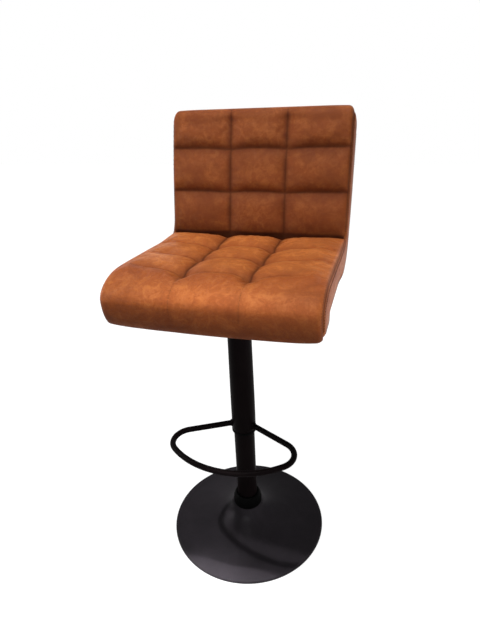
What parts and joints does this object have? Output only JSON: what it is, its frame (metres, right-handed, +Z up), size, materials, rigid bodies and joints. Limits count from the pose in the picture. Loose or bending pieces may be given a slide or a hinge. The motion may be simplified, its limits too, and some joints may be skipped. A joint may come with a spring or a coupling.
{
  "type": "swivel bar stool",
  "caption": "Height-adjustable swivel bar stool: quilted one-piece seat and back on a gas-lift column, with a trumpet base, a footrest loop on the sleeve and a release lever.",
  "frame": {"origin": "on the floor, on the column's axis", "axes": "+Z up along the column; the sitter faces -Y; +X to the sitter's left, so the release lever is at -X"},
  "size_m": [0.426, 0.4719, 1.0143],
  "materials": {
    "tan_leather": "distressed cognac imitation leather, quilted, satin",
    "black_powder": "satin black powder coat",
    "black_plastic": "moulded, fine grain",
    "natural_nylon": "moulded nylon",
    "black_rubber": "matt",
    "cast_ballast": "as cast",
    "bearing_steel": "ground",
    "cage_brass": "stamped",
    "piston_alloy": "turned",
    "zinc_steel": "zinc plated",
    "plywood": "bent birch plywood",
    "dust_cloth": "black non-woven cloth"
  },
  "bodies": {
    "base": {"base_shell": "black_powder", "floor_ring": "black_rubber", "ballast_disc": "cast_ballast", "foot_flange": "black_powder", "flange_bolts": "zinc_steel", "flange_nuts": "zinc_steel", "column_tube": "black_powder", "dome_collar": "black_plastic", "guide_bushing": "natural_nylon", "bearing_lower_race": "bearing_steel", "bearing_balls": "bearing_steel", "bearing_cage": "cage_brass"},
    "spindle": {"bearing_upper_race": "bearing_steel", "piston_rod": "bearing_steel", "piston_head": "piston_alloy", "rod_washer": "zinc_steel", "rod_clip": "bearing_steel"},
    "carriage": {"gas_cylinder": "black_powder", "rod_gland": "black_rubber", "sleeve_tube": "black_powder", "sleeve_bushing": "black_plastic", "footrest_ring": "black_powder", "taper_hub": "black_powder", "lever_housing": "black_powder", "lever_pin": "zinc_steel", "seat_plate": "black_powder", "plate_bolts": "zinc_steel", "plate_washers": "zinc_steel", "t_nuts": "zinc_steel", "dust_cover": "dust_cloth", "plywood_shell": "plywood", "seat_cushion": "tan_leather", "back_cushion": "tan_leather", "rear_cover": "tan_leather"},
    "lever": {"lever_tongue": "black_powder", "lever_rod": "black_powder", "lever_grip": "black_plastic"},
    "valve": {"valve_button": "zinc_steel"}
  },
  "joints": [
    {"name": "swivel", "type": "hinge", "parent": "base", "child": "spindle", "pos_m": [0, 0, 0.027], "axis": [0, 0, 1], "continuous": true},
    {"name": "lift", "type": "slide", "parent": "spindle", "child": "carriage", "axis": [0, 0, 1], "range_m": [-0.12, 0.09]},
    {"name": "lever_turn", "type": "hinge", "parent": "carriage", "child": "lever", "pos_m": [-0.024, 0, 0.645], "axis": [0, 1, 0], "range_deg": [0, 6.5], "stiffness_Nm_per_rad": 25},
    {"name": "valve_press", "type": "slide", "parent": "carriage", "child": "valve", "axis": [0, 0, 1], "range_m": [-0.0028, 0]}
  ],
  "couplings": [
    {"joint": "valve_press", "follows": "lever_turn", "m_per_rad": -0.024}
  ]
}
